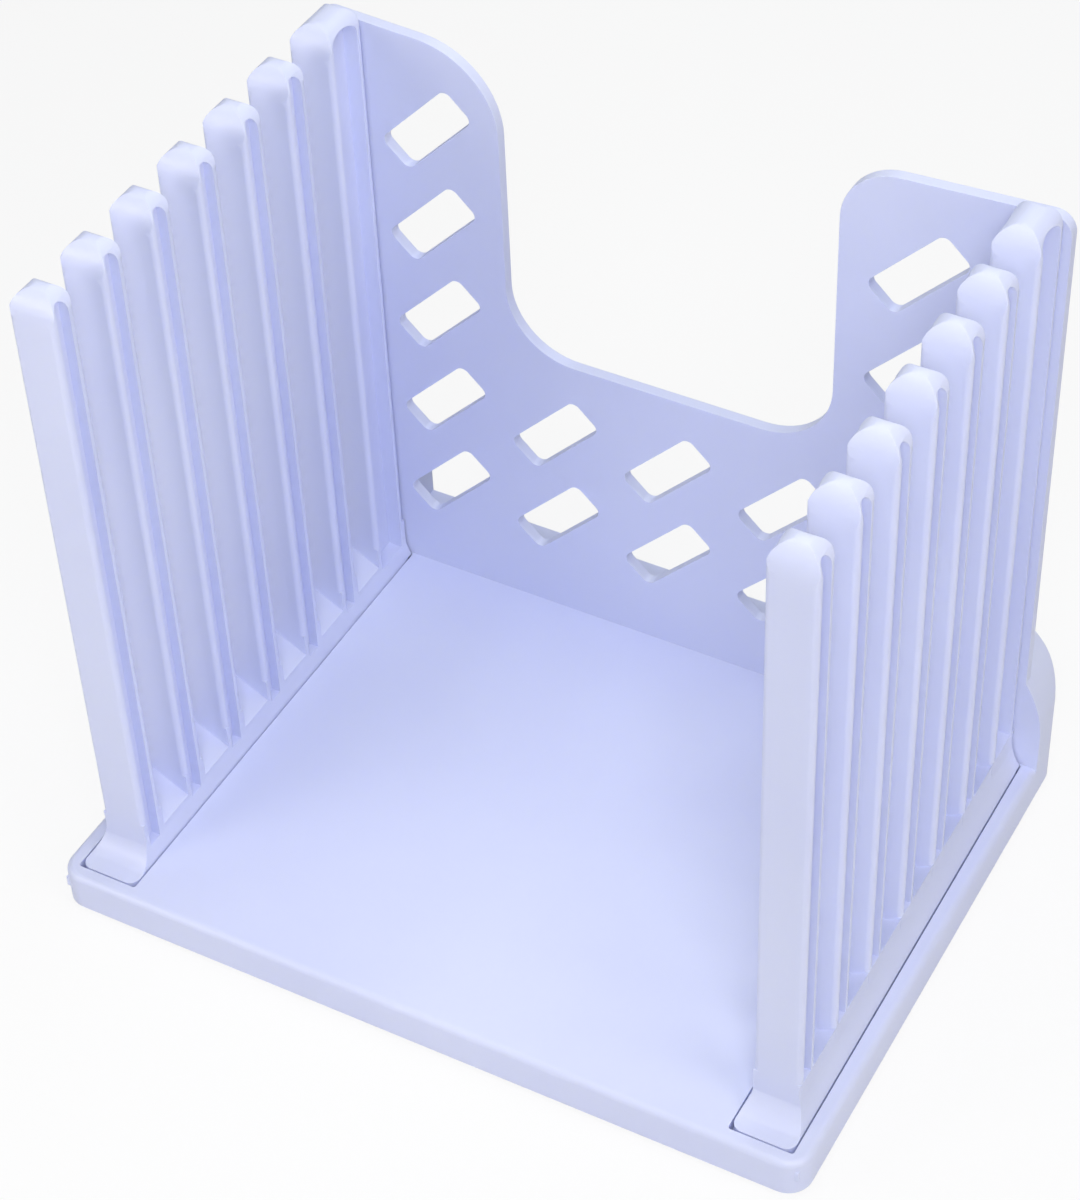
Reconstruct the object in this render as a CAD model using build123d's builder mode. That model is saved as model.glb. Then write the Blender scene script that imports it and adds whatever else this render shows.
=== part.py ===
from build123d import *
import os

# A bread slicer guide: a flat tray carries two comb walls and a back wall with a hand cut-out.
# The loaf lies on the tray between the walls, and a knife runs down the gaps between the posts.
# X runs across the loaf, Y from the open front to the back wall, Z up.
# The origin is on the table, under the middle of the tray.  All sizes are in millimetres.

# Loaf space and slice posts
loaf_width = 133.0
slice_pitch = 15.0
post_count = 7
post_length = 6.2
end_post_length = 11.2
post_thickness = 9.5
post_height = 138.9
post_nose_length = 4.2
post_nose_rise = 7.0
post_heel_radius = 1.8
post_shoulder_radius = 4.6
post_corner_radius = 1.1

# Margins that the tray leaves around the combs
comb_side_margin = 5.5
first_post_setback = 10.5
back_comb_gap = 0.5
back_strip_depth = 11.5

# Tray
tray_height = 8.5
tray_corner_radius = 5.0
tray_edge_radius = 1.4
tray_skin = 2.4
tray_skirt = 2.4

# Grip pads under the tray
pad_radius = 5.0
pad_thickness = 1.6
pad_stand = 0.8
pad_boss_wall = 2.0
pad_inset = 13.0

# Hollow sides of the posts
front_flange = 1.2
rear_flange = 1.7
recess_depth = 2.0
end_recess_depth = 3.2
recess_crown = 1.7
recess_arch_rise = 1.8

# Feet of the comb walls
foot_thickness = 3.0
foot_inner_margin = 1.5
foot_outer_margin = 2.3
foot_front_setback = 3.0
foot_rear_gap = 0.15
foot_corner_radius = 2.2
toe_height = 3.0
knife_sill = 4.5
flare_height = 9.6
flare_sag = 0.8
front_flare_height = 4.2
front_flare_sag = 1.3

# Back wall
back_thickness = 2.4
back_side_inset = 4.1
back_top_drop = 2.4
back_lobe_fall = 2.3
back_top_corner_radius = 4.0
left_lobe_radius = 18.0
right_lobe_radius = 12.0
hand_cut_centre = -2.4
hand_cut_half_width = 35.6
hand_cut_bottom = 66.8
hand_cut_radius = 15.0
back_beam_height = 9.0
ear_radius = 25.0
ear_shoulder_inset = 7.0
ear_width = 15.5

# Slanted slots around the hand cut-out
slot_length = 21.6
slot_width = 8.2
slot_corner_radius = 1.8
slot_slant = 46.0
slot_column_pitch = 25.8
slot_first_row = 25.2
slot_top_margin = 19.4
slot_low_rows = 2
slot_side_rows = 5
slot_columns = 5

# Sockets and tongues that hold the walls in the tray
seam_gap = 0.35
socket_corner_radius = 0.6
well_floor = 1.8
well_wall = 2.0
tongue_depth = 4.4
tongue_length = 14.0
tongue_thickness = 3.2
tongue_clearance = 0.25
tongue_chamfer = 0.5
side_tongue_count = 3
side_tongue_margin = 9.5
back_key_inset = 22.5
back_key_width = 6.0
back_tongue_count = 3
back_tongue_margin = 7.0

# Underside ribs
rib_thickness = 1.6
rib_height = 4.0
rib_count = 3

# Levels and positions worked out from the sizes above
tray_width = loaf_width + 2 * (post_thickness + comb_side_margin)
comb_length = (post_count - 1) * slice_pitch + end_post_length
tray_depth = first_post_setback + comb_length + back_comb_gap + back_strip_depth
tray_bottom = pad_stand
floor_level = tray_bottom + tray_height
front_edge = -tray_depth / 2
rear_edge = tray_depth / 2
wall_inner = loaf_width / 2
wall_outer = wall_inner + post_thickness
foot_inner = wall_inner - foot_inner_margin
foot_outer = wall_outer + foot_outer_margin
foot_centre = (foot_inner + foot_outer) / 2
foot_front = front_edge + foot_front_setback
back_front = rear_edge - back_strip_depth
foot_rear = back_front - foot_rear_gap
foot_middle = (foot_front + foot_rear) / 2
foot_bottom = floor_level - foot_thickness
tongue_bottom = foot_bottom - tongue_depth
first_post = front_edge + first_post_setback
last_post = first_post + (post_count - 1) * slice_pitch
comb_rear = first_post + comb_length
post_top = floor_level + post_height
knife_gap = slice_pitch - post_length
post_places = [(first_post + number * slice_pitch, post_length) for number in range(post_count - 1)]
post_places.append((last_post, end_post_length))
back_half_width = tray_width / 2 - back_side_inset
back_top_outer = post_height - back_top_drop
back_top_inner = back_top_outer - back_lobe_fall
slot_row_pitch = (back_top_inner - slot_top_margin - slot_first_row) / (slot_side_rows - 1)
back_key_length = tray_width - 2 * back_key_inset
back_key_middle = (back_front + rear_edge) / 2
side_tongue_room = foot_rear - foot_front - tongue_length - 2 * side_tongue_margin
side_tongue_pitch = side_tongue_room / (side_tongue_count - 1)
back_tongue_pitch = (back_key_length - tongue_length - 2 * back_tongue_margin) / (back_tongue_count - 1)
rib_pitch = (foot_rear - foot_front) / (rib_count + 1)
rib_spots = [(0, foot_middle + step * rib_pitch) for step in range(-(rib_count // 2), rib_count // 2 + 1)]
side_tongue_spots = [(foot_centre, foot_middle + step * side_tongue_pitch)
                     for step in range(-(side_tongue_count // 2), side_tongue_count // 2 + 1)]
back_tongue_spots = [(step * back_tongue_pitch, back_key_middle)
                     for step in range(-(back_tongue_count // 2), back_tongue_count // 2 + 1)]
pad_spots = {
    "front_left": (-(tray_width / 2 - pad_inset), front_edge + pad_inset),
    "front_right": (tray_width / 2 - pad_inset, front_edge + pad_inset),
    "rear_left": (-(tray_width / 2 - pad_inset), rear_edge - pad_inset),
    "rear_right": (tray_width / 2 - pad_inset, rear_edge - pad_inset),
}


def post_outline(start, length):
    """Side view of a post: its nose curves back to a level crest, and its rear corner is rounded."""
    heel_start = start + length - post_heel_radius
    with BuildSketch(Plane.YZ.offset(wall_inner)) as outline:
        with BuildLine():
            Polyline((start, post_top - post_nose_rise), (start, foot_bottom), (start + length, foot_bottom),
                     (start + length, post_top - post_heel_radius))
            CenterArc((heel_start, post_top - post_heel_radius), post_heel_radius, start_angle=0, arc_size=90)
            Line((heel_start, post_top), (start + post_nose_length, post_top))
            EllipticalCenterArc((start + post_nose_length, post_top - post_nose_rise), post_nose_length,
                                post_nose_rise, start_angle=90, arc_size=90)
        make_face()
    return outline.sketch


def hollow_outline(side, start, length, bottom):
    """Side view of the hollow in a post: straight sides under a low arch."""
    spring = post_top - recess_crown - recess_arch_rise
    with BuildSketch(Plane.YZ.offset(side)) as outline:
        with BuildLine():
            Polyline((start, spring), (start, bottom), (start + length, bottom), (start + length, spring))
            EllipticalCenterArc((start + length / 2, spring), length / 2, recess_arch_rise,
                                start_angle=0, arc_size=180)
        make_face()
    return outline.sketch


def slot_spots():
    """Middles of the slanted slots: full rows below the hand cut-out, side columns beside it."""
    outer_column = slot_columns // 2
    spots = []
    for row in range(slot_side_rows):
        for column in range(-outer_column, outer_column + 1):
            if row < slot_low_rows or abs(column) == outer_column:
                across = hand_cut_centre + column * slot_column_pitch
                spots.append((across, floor_level + slot_first_row + row * slot_row_pitch))
    return spots


def ear_outline():
    """Front view of the right ear: as wide as the tray below, rounded in behind the panel above."""
    tray_side = tray_width / 2
    start = floor_level + back_beam_height
    shoulder = tray_side - ear_shoulder_inset
    rise = (ear_radius ** 2 - (ear_radius - ear_shoulder_inset) ** 2) ** 0.5
    with BuildSketch(Plane.XZ.offset(-back_front)) as outline:
        with BuildLine():
            Polyline((tray_side, start), (tray_side, floor_level), (tray_side - ear_width, floor_level),
                     (tray_side - ear_width, start + rise), (shoulder, start + rise))
            RadiusArc((shoulder, start + rise), (tray_side, start), ear_radius)
        make_face()
    return outline.sketch


# ---------------------------------------------------------------- tray
with BuildPart() as tray:
    with BuildSketch(Plane.XY.offset(tray_bottom)):
        RectangleRounded(tray_width, tray_depth, tray_corner_radius)
    extrude(amount=tray_height)
    fillet(faces().sort_by(Axis.Z)[-1].edges(), radius=tray_edge_radius)
    # the rim stays square under the back wall, which stands flush with it
    with BuildSketch(Plane.XY.offset(tray_bottom)):
        RectangleRounded(tray_width, tray_depth, tray_corner_radius)
        with Locations((0, back_key_middle)):
            Rectangle(tray_width, rear_edge - back_front, mode=Mode.INTERSECT)
    extrude(amount=tray_height)
    with BuildSketch(Plane.XY.offset(tray_bottom)):
        RectangleRounded(tray_width - 2 * tray_skirt, tray_depth - 2 * tray_skirt,
                         tray_corner_radius - tray_skirt)
    extrude(amount=tray_height - tray_skin, mode=Mode.SUBTRACT)
    # wells that stand under the feet of the walls
    with BuildSketch(Plane.XY.offset(foot_bottom - well_floor)):
        with Locations((-foot_centre, foot_middle), (foot_centre, foot_middle)):
            Rectangle(foot_outer - foot_inner + 2 * well_wall, foot_rear - foot_front + 2 * well_wall)
        with Locations((0, back_key_middle)):
            Rectangle(back_key_length + 2 * well_wall, back_key_width + 2 * well_wall)
    extrude(amount=foot_thickness + well_floor - tray_skin)
    # ribs across the underside
    with BuildSketch(Plane.XY.offset(floor_level - tray_skin - rib_height)):
        with Locations(*rib_spots):
            Rectangle(2 * foot_inner, rib_thickness)
    extrude(amount=rib_height)
    # bosses that hold the pads
    with BuildSketch(Plane.XY.offset(tray_bottom)):
        with Locations(*pad_spots.values()):
            Circle(pad_radius + pad_boss_wall)
    extrude(amount=tray_height - tray_skin)
    # recesses for the feet, and slots for their tongues
    with BuildSketch(Plane.XY.offset(floor_level)):
        with Locations((-foot_centre, foot_middle), (foot_centre, foot_middle)):
            RectangleRounded(foot_outer - foot_inner, foot_rear - foot_front, socket_corner_radius)
        with Locations((0, back_key_middle)):
            RectangleRounded(back_key_length, back_key_width, socket_corner_radius)
    extrude(amount=-foot_thickness, mode=Mode.SUBTRACT)
    with BuildSketch(Plane.XY.offset(foot_bottom)):
        with Locations(*side_tongue_spots, *[(-x, y) for x, y in side_tongue_spots]):
            Rectangle(tongue_thickness + 2 * tongue_clearance, tongue_length + 2 * tongue_clearance)
        with Locations(*back_tongue_spots):
            Rectangle(tongue_length + 2 * tongue_clearance, tongue_thickness + 2 * tongue_clearance)
    extrude(amount=-tray_height, mode=Mode.SUBTRACT)
    with BuildSketch(Plane.XY.offset(tray_bottom)):
        with Locations(*pad_spots.values()):
            Circle(pad_radius)
    extrude(amount=pad_thickness - pad_stand, mode=Mode.SUBTRACT)
tray.part.label = "tray"

# ---------------------------------------------------------------- comb walls
with BuildPart() as right_guide_wall:
    for start, length in post_places:
        extrude(post_outline(start, length), amount=post_thickness)
    # rounded upright edges
    with BuildSketch(Plane.XY.offset(foot_bottom)):
        for start, length in post_places:
            with Locations((wall_inner + post_thickness / 2, start + length / 2)):
                RectangleRounded(post_thickness, length, post_corner_radius)
    extrude(amount=post_top - foot_bottom, mode=Mode.INTERSECT)
    # rounded shoulders in the front view
    with BuildSketch(Plane.XZ.offset(-first_post)):
        with BuildLine():
            Polyline((wall_inner, post_top), (wall_outer, post_top), (wall_outer, foot_bottom),
                     (wall_inner, foot_bottom), close=True)
        make_face()
        fillet(vertices().group_by(Axis.Y)[-1], radius=post_shoulder_radius)
    extrude(amount=first_post - comb_rear, mode=Mode.INTERSECT)

    # skirt that carries the posts: a short toe on the loaf side and a flare outside
    skirt_top = floor_level + flare_height
    heel = (foot_outer - seam_gap, floor_level)
    shoulder = (wall_outer, skirt_top)
    flare_middle = ((heel[0] + shoulder[0]) / 2 - flare_sag, (heel[1] + shoulder[1]) / 2 - flare_sag)
    with BuildSketch(Plane.XZ.offset(-foot_front)):
        with BuildLine():
            Polyline(shoulder, (wall_inner, skirt_top), (wall_inner, floor_level + toe_height),
                     (foot_inner + seam_gap, floor_level), heel)
            ThreePointArc(heel, flare_middle, shoulder)
        make_face()
    extrude(amount=foot_front - comb_rear)
    # the skirt also curves down in front of the first post
    toe = (foot_front, floor_level)
    root = (first_post, floor_level + front_flare_height)
    toe_middle = ((toe[0] + root[0]) / 2 + front_flare_sag, (toe[1] + root[1]) / 2 - front_flare_sag)
    with BuildSketch(Plane.YZ.offset(foot_inner)):
        with BuildLine():
            Polyline(root, (first_post, skirt_top), (foot_front, skirt_top), toe)
            ThreePointArc(toe, toe_middle, root)
        make_face()
    extrude(amount=foot_outer - foot_inner, mode=Mode.SUBTRACT)
    # the knife gaps run down to a sill that slopes up to the flare, so that crumbs slide inwards
    for start, length in post_places[1:]:
        with BuildSketch(Plane.XZ.offset(-start)):
            with BuildLine():
                Polyline((foot_inner, floor_level + knife_sill), (wall_inner, floor_level + knife_sill),
                         (wall_outer, skirt_top), (foot_inner, skirt_top), close=True)
            make_face()
        extrude(amount=knife_gap, mode=Mode.SUBTRACT)
    # hollows on both sides of each post
    for start, length in post_places:
        depth = end_recess_depth if start == last_post else recess_depth
        hollow = (start + front_flange, length - front_flange - rear_flange)
        extrude(hollow_outline(wall_inner, *hollow, floor_level + toe_height),
                amount=depth, mode=Mode.SUBTRACT)
        extrude(hollow_outline(wall_outer, *hollow, skirt_top), amount=-depth, mode=Mode.SUBTRACT)
    # foot strip and tongues
    with BuildSketch(Plane.XY.offset(foot_bottom)):
        with Locations((foot_centre, foot_middle)):
            RectangleRounded(foot_outer - foot_inner - 2 * seam_gap, foot_rear - foot_front - 2 * seam_gap,
                             foot_corner_radius)
    extrude(amount=foot_thickness)
    with BuildSketch(Plane.XY.offset(tongue_bottom)):
        with Locations(*side_tongue_spots):
            Rectangle(tongue_thickness, tongue_length)
    extrude(amount=tongue_depth)
    chamfer(edges().filter_by(Plane.XY).group_by(Axis.Z)[0], length=tongue_chamfer)
right_guide_wall.part.label = "right_guide_wall"

with BuildPart() as left_guide_wall:
    mirror(right_guide_wall.part, about=Plane.YZ)
left_guide_wall.part.label = "left_guide_wall"

# ---------------------------------------------------------------- back wall
with BuildPart() as back_wall:
    # ears and a beam along the bottom, flush with the tray all round
    extrude(ear_outline(), amount=back_front - rear_edge)
    mirror(about=Plane.YZ)
    with BuildSketch(Plane.XY.offset(floor_level)):
        with Locations((0, back_key_middle)):
            Rectangle(tray_width, rear_edge - back_front)
    extrude(amount=back_beam_height)
    with BuildSketch(Plane.XY.offset(floor_level)):
        RectangleRounded(tray_width, tray_depth, tray_corner_radius)
    extrude(amount=back_top_outer, mode=Mode.INTERSECT)
    # panel with two lobes beside the hand cut-out
    top_outer = floor_level + back_top_outer
    top_inner = floor_level + back_top_inner
    cut_bottom = floor_level + hand_cut_bottom
    cut_left = hand_cut_centre - hand_cut_half_width
    cut_right = hand_cut_centre + hand_cut_half_width
    with BuildSketch(Plane.XZ.offset(-back_front)):
        with BuildLine():
            Polyline((-back_half_width, floor_level), (-back_half_width, top_outer),
                     (cut_left, top_inner), (cut_left, cut_bottom), (cut_right, cut_bottom),
                     (cut_right, top_inner), (back_half_width, top_outer),
                     (back_half_width, floor_level), close=True)
        make_face()
        fillet(vertices().group_by(Axis.Y)[-1], radius=back_top_corner_radius)
        cut_corners = ((cut_left, cut_bottom, hand_cut_radius), (cut_right, cut_bottom, hand_cut_radius),
                       (cut_left, top_inner, left_lobe_radius), (cut_right, top_inner, right_lobe_radius))
        for across, level, radius in cut_corners:
            fillet(vertices().sort_by_distance((across, level, 0))[0], radius=radius)
    extrude(amount=-back_thickness)
    with BuildSketch(Plane.XZ.offset(-back_front)):
        with Locations(*slot_spots()):
            RectangleRounded(slot_length, slot_width, slot_corner_radius, rotation=slot_slant)
    extrude(amount=-back_thickness, mode=Mode.SUBTRACT)
    # foot key and tongues
    with BuildSketch(Plane.XY.offset(foot_bottom)):
        with Locations((0, back_key_middle)):
            RectangleRounded(back_key_length - 2 * seam_gap, back_key_width - 2 * seam_gap,
                             foot_corner_radius)
    extrude(amount=foot_thickness)
    with BuildSketch(Plane.XY.offset(tongue_bottom)):
        with Locations(*back_tongue_spots):
            Rectangle(tongue_length, tongue_thickness)
    extrude(amount=tongue_depth)
    chamfer(edges().filter_by(Plane.XY).group_by(Axis.Z)[0], length=tongue_chamfer)
back_wall.part.label = "back_wall"

# ---------------------------------------------------------------- files
os.makedirs("parts", exist_ok=True)
export_step(tray.part, "parts/tray.step")
export_step(left_guide_wall.part, "parts/left_guide_wall.step")
export_step(right_guide_wall.part, "parts/right_guide_wall.step")
export_step(back_wall.part, "parts/back_wall.step")

for place, (pad_x, pad_y) in pad_spots.items():
    with BuildPart() as grip_pad:
        with BuildSketch(Plane.XY):
            with Locations((pad_x, pad_y)):
                Circle(pad_radius)
        extrude(amount=pad_thickness)
    grip_pad.part.label = f"grip_pad_{place}"
    export_step(grip_pad.part, f"parts/grip_pad_{place}.step")
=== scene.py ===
# %% [markdown]
# # A bread slicer guide in moulded plastic
# The solids come from the CAD model and are loaded as a fixed frame.  They already have the right
# size and place, so this lesson only dresses them: softened edges, a satin plastic, soft studio
# light and a camera that stands where a photographer would.

# %% Load the frame
import math
import bmesh
import bpy
from mathutils import Euler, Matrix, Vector


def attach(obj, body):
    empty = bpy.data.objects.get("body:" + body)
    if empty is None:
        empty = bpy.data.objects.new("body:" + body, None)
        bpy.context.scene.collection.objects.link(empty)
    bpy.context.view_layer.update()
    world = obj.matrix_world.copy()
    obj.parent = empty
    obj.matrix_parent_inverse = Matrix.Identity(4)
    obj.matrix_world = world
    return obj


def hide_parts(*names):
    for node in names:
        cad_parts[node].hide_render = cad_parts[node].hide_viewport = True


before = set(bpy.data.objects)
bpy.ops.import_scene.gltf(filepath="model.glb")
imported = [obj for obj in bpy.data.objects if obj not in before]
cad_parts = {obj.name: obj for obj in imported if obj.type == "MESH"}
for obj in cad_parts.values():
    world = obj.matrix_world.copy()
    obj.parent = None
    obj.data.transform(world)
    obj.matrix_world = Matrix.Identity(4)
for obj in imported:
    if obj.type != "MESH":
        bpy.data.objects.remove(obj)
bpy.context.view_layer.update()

print("frame nodes:", sorted(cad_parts))

# %% [markdown]
# ## Measures
# Everything in Blender is in metres here.  A few sizes are named once, in millimetres, so that the
# edges and the grain can be reasoned about in the same units as the real guide.

# %% Name the sizes
MM = 0.001
edge_round = 0.35 * MM
weld_gap = 0.002 * MM
grain_height = 0.05 * MM
crater_height = 0.08 * MM
glow_depth = 1.2 * MM
flat_angle = math.radians(1.0)
sharp_angle = math.radians(28.0)
print("edges are rounded by", edge_round / MM, "mm")

# %% [markdown]
# ## Satin plastic
# The guide is injection moulded in a white plastic with a faint cool tint.  The mould was polished,
# then lightly etched, so the skin has a fine grain that spreads highlights without hiding them.
# One could paint that as an image, but a noise that lives in the object's own space has no seams
# and keeps its scale on every piece.
# Three layers are enough: a slow drift in tint from the flow of the plastic, a fine grain that
# changes the roughness, and a very low bump.

# %% Small helpers for node trees
def new_material(name):
    material = bpy.data.materials.new(name)
    material.use_nodes = True
    nodes = material.node_tree.nodes
    shader = nodes["Principled BSDF"]
    return material, nodes, material.node_tree.links, shader


def object_noise(nodes, links, scale, detail, roughness):
    place = nodes.new("ShaderNodeTexCoord")
    noise = nodes.new("ShaderNodeTexNoise")
    noise.inputs["Scale"].default_value = scale
    noise.inputs["Detail"].default_value = detail
    noise.inputs["Roughness"].default_value = roughness
    links.new(place.outputs["Object"], noise.inputs["Vector"])
    return noise


def ramp_between(nodes, links, source, low, high, start=0.35, end=0.65):
    ramp = nodes.new("ShaderNodeValToRGB")
    ramp.color_ramp.elements[0].position = start
    ramp.color_ramp.elements[1].position = end
    ramp.color_ramp.elements[0].color = low
    ramp.color_ramp.elements[1].color = high
    links.new(source, ramp.inputs["Fac"])
    return ramp


def bump_from(nodes, links, height, shader, strength, distance):
    bump = nodes.new("ShaderNodeBump")
    bump.inputs["Strength"].default_value = strength
    bump.inputs["Distance"].default_value = distance
    links.new(height, bump.inputs["Height"])
    links.new(bump.outputs["Normal"], shader.inputs["Normal"])


def grey(level):
    return (level, level, level, 1)


print("helpers ready")

# %% Mix the satin plastic
def satin_plastic(name, light, deep):
    material, nodes, links, shader = new_material(name)
    flow = object_noise(nodes, links, scale=14.0, detail=3.0, roughness=0.5)
    tint = ramp_between(nodes, links, flow.outputs["Fac"], deep, light)
    links.new(tint.outputs["Color"], shader.inputs["Base Color"])
    grain = object_noise(nodes, links, scale=1400.0, detail=4.0, roughness=0.6)
    gloss = ramp_between(nodes, links, grain.outputs["Fac"], grey(0.34), grey(0.46))
    links.new(gloss.outputs["Color"], shader.inputs["Roughness"])
    bump_from(nodes, links, grain.outputs["Fac"], shader, 0.12, grain_height)
    shader.inputs["IOR"].default_value = 1.52
    shader.inputs["Subsurface Weight"].default_value = 0.12
    shader.inputs["Subsurface Radius"].default_value = (0.6, 0.6, 1.0)
    shader.inputs["Subsurface Scale"].default_value = glow_depth
    return material


pale_tint = (0.72, 0.76, 0.985, 1)
deep_tint = (0.68, 0.72, 0.965, 1)
guide_plastic = satin_plastic("cool_white_satin_plastic", pale_tint, deep_tint)
print("mixed", guide_plastic.name)

# %% [markdown]
# ## Grip pads
# Under the tray sit soft pads.  Soft rubber has no clear highlight: it is dull, with a coarser,
# slightly cratered skin.  The same helpers give it, with a rougher shader and a taller bump.

# %% Mix the pad rubber
def pad_rubber(name, light, deep):
    material, nodes, links, shader = new_material(name)
    cloud = object_noise(nodes, links, scale=60.0, detail=4.0, roughness=0.6)
    tint = ramp_between(nodes, links, cloud.outputs["Fac"], deep, light)
    links.new(tint.outputs["Color"], shader.inputs["Base Color"])
    skin = object_noise(nodes, links, scale=900.0, detail=3.0, roughness=0.7)
    dull = ramp_between(nodes, links, skin.outputs["Fac"], grey(0.72), grey(0.9))
    links.new(dull.outputs["Color"], shader.inputs["Roughness"])
    bump_from(nodes, links, skin.outputs["Fac"], shader, 0.3, crater_height)
    return material


soft_rubber = pad_rubber("soft_grip_rubber", (0.31, 0.315, 0.36, 1), (0.24, 0.245, 0.29, 1))
for place in ("front_left", "front_right", "rear_left", "rear_right"):
    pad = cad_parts["grip_pad_" + place]
    pad.data.materials.clear()
    pad.data.materials.append(soft_rubber)
print("pads dressed with", soft_rubber.name)

# %% [markdown]
# ## Softened edges
# No moulded edge is razor sharp: the tool leaves a radius of a few tenths of a millimetre, and
# this thin round catches the light.  Many small edges of the CAD solids are crisp, so each moulded
# piece gets a copy whose flat faces are merged first and whose sharp edges are then bevelled.
# The copy stays inside the solid's box, because a bevel takes material away from outer edges.

# %% Copy a node and soften it
def softened_copy(node, name, body):
    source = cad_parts[node]
    mesh = source.data.copy()
    mesh.name = name
    shell = bpy.data.objects.new(name, mesh)
    bpy.context.scene.collection.objects.link(shell)
    work = bmesh.new()
    work.from_mesh(mesh)
    bmesh.ops.remove_doubles(work, verts=work.verts, dist=weld_gap)
    bmesh.ops.dissolve_limit(work, angle_limit=flat_angle, verts=work.verts, edges=work.edges)
    work.to_mesh(mesh)
    work.free()
    rounding = shell.modifiers.new("edge rounding", "BEVEL")
    rounding.width = edge_round
    rounding.segments = 2
    rounding.limit_method = "ANGLE"
    rounding.angle_limit = sharp_angle
    rounding.harden_normals = False
    rounding.use_clamp_overlap = True
    mesh.materials.clear()
    mesh.materials.append(guide_plastic)
    for face in mesh.polygons:
        face.use_smooth = True
    even = shell.modifiers.new("even shading", "WEIGHTED_NORMAL")
    even.keep_sharp = True
    even.weight = 100
    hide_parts(node)
    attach(shell, body)
    print(name, "stands for", node, "with", len(mesh.polygons), "faces before rounding")
    return shell


moulded_tray = softened_copy("tray", "moulded_tray", "base")
left_comb = softened_copy("left_guide_wall", "left_comb", "left_wall")
right_comb = softened_copy("right_guide_wall", "right_comb", "right_wall")
moulded_back = softened_copy("back_wall", "moulded_back", "rear_wall")

# %% [markdown]
# ## Floor
# A plain pale floor carries the soft shadow.  To the camera it is mostly a glow, so that it runs
# into the white background, and the part that isn't glow takes the shadow.

# %% Lay the floor
glow_share = 0.86


def pale_floor(size):
    work = bmesh.new()
    bmesh.ops.create_grid(work, x_segments=1, y_segments=1, size=size / 2)
    mesh = bpy.data.meshes.new("studio_floor")
    work.to_mesh(mesh)
    work.free()
    floor = bpy.data.objects.new("studio_floor", mesh)
    bpy.context.scene.collection.objects.link(floor)
    material, nodes, links, shader = new_material("pale_paper")
    shader.inputs["Roughness"].default_value = 0.9
    shader.inputs["Base Color"].default_value = (0.9, 0.9, 0.9, 1)
    glow = nodes.new("ShaderNodeEmission")
    glow.inputs["Color"].default_value = (1, 1, 1, 1)
    rays = nodes.new("ShaderNodeLightPath")
    mixed = nodes.new("ShaderNodeMixShader")
    seen = nodes.new("ShaderNodeMath")
    seen.operation = "MULTIPLY"
    seen.inputs[1].default_value = glow_share
    links.new(rays.outputs["Is Camera Ray"], seen.inputs[0])
    links.new(seen.outputs["Value"], mixed.inputs["Fac"])
    links.new(shader.outputs["BSDF"], mixed.inputs[1])
    links.new(glow.outputs["Emission"], mixed.inputs[2])
    links.new(mixed.outputs["Shader"], nodes["Material Output"].inputs["Surface"])
    mesh.materials.append(material)
    return floor


studio_floor = pale_floor(6.0)
print("floor laid:", studio_floor.name)

# %% [markdown]
# ## World
# The background should be clean white to the camera and in reflections, without adding light to the
# object.  So the colour that such rays see is split from the faint sky that lights the scene.

# %% Set the world
world = bpy.data.worlds.new("soft_studio")
world.use_nodes = True
bpy.context.scene.world = world
air = world.node_tree
sky = air.nodes["Background"]
sky.inputs["Color"].default_value = (0.93, 0.95, 1.0, 1)
sky.inputs["Strength"].default_value = 0.06
backdrop = air.nodes.new("ShaderNodeBackground")
backdrop.inputs["Color"].default_value = (1, 1, 1, 1)
backdrop.inputs["Strength"].default_value = 1.0
rays = air.nodes.new("ShaderNodeLightPath")
either = air.nodes.new("ShaderNodeMath")
either.operation = "MAXIMUM"
any_view = air.nodes.new("ShaderNodeMath")
any_view.operation = "MAXIMUM"
split = air.nodes.new("ShaderNodeMixShader")
air.links.new(rays.outputs["Is Camera Ray"], either.inputs[0])
air.links.new(rays.outputs["Is Transmission Ray"], either.inputs[1])
air.links.new(either.outputs["Value"], any_view.inputs[0])
air.links.new(rays.outputs["Is Glossy Ray"], any_view.inputs[1])
air.links.new(any_view.outputs["Value"], split.inputs["Fac"])
air.links.new(sky.outputs["Background"], split.inputs[1])
air.links.new(backdrop.outputs["Background"], split.inputs[2])
air.links.new(split.outputs["Shader"], air.nodes["World Output"].inputs["Surface"])
print("world strength", sky.inputs["Strength"].default_value)

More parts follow.
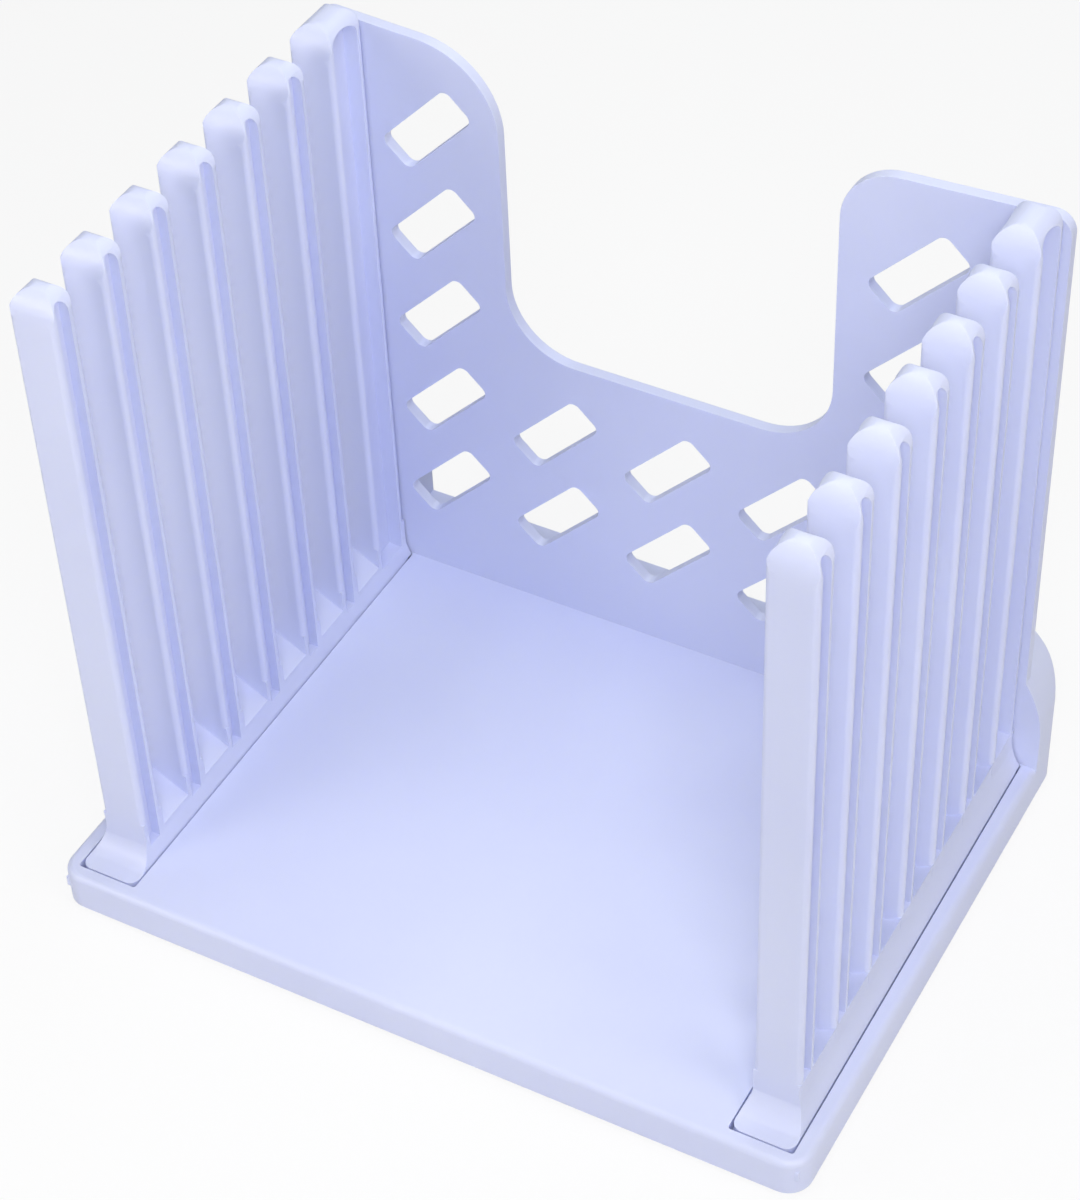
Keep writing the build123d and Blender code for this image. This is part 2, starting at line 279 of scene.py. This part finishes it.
# %% [markdown]
# ## Lamps
# A light tent is imitated with a few wide soft lamps, none of them strong.  The main one hangs
# above the camera and gives the tray its pale, even tone.  A small one stands close in front of the
# left comb, so that its front is brighter than the right comb's.  The one overhead hangs low: the
# tops of the posts are nearer to it than the tray, and so they are brighter than it.  The lamps on
# the right and at the back only fill.

# %% Hang the lamps
def softbox(name, place, aim, size, watts, colour):
    lamp = bpy.data.lights.new(name, "AREA")
    lamp.shape = "DISK"
    lamp.size = size
    lamp.energy = watts
    lamp.color = colour
    stand = bpy.data.objects.new(name, lamp)
    stand.location = place
    stand.rotation_euler = (Vector(aim) - Vector(place)).to_track_quat("-Z", "Y").to_euler()
    bpy.context.scene.collection.objects.link(stand)
    print(name, watts, "W")
    return stand


middle = (0.0, 0.0, 0.06)
softbox("camera_softbox", (0.30, -0.52, 0.62), middle, 0.35, 2.6, (0.94, 0.95, 1.0))
softbox("left_softbox", (-0.24, -0.32, 0.22), (-0.04, 0.0, 0.07), 0.18, 0.40, (1.0, 0.97, 0.94))
softbox("right_softbox", (0.60, -0.15, 0.40), middle, 0.40, 1.25, (1.0, 0.95, 0.88))
softbox("back_softbox", (0.0, 0.45, 0.55), middle, 0.40, 0.6, (0.85, 0.92, 1.0))
softbox("overhead_softbox", (0.0, 0.02, 0.51), (0.0, 0.02, 0.0), 0.50, 1.0, (0.98, 1.0, 0.97))

# %% [markdown]
# ## Camera
# The picture looks down into the guide from the front right, about 28 degrees round and 44 degrees
# up, from some 64 centimetres away.  The lens is long, and the frame is shifted a little because
# the guide isn't centred in it.

# %% Place the camera
lens = bpy.data.cameras.new("studio_camera")
lens.lens = 93.55
lens.sensor_fit = "AUTO"
lens.sensor_width = 36.0
lens.shift_x = -0.075
lens.shift_y = 0.0177
camera = bpy.data.objects.new("studio_camera", lens)
camera.location = (0.21501, -0.37328, 0.47039)
camera.rotation_euler = Euler([math.radians(turn) for turn in (46.299, 0.803, 27.371)], "XYZ")
bpy.context.scene.collection.objects.link(camera)
bpy.context.scene.camera = camera
print("camera stands", round(camera.location.length, 3), "m from the middle of the tray")

# %% Finish
scene = bpy.context.scene
scene.view_settings.view_transform = "Standard"
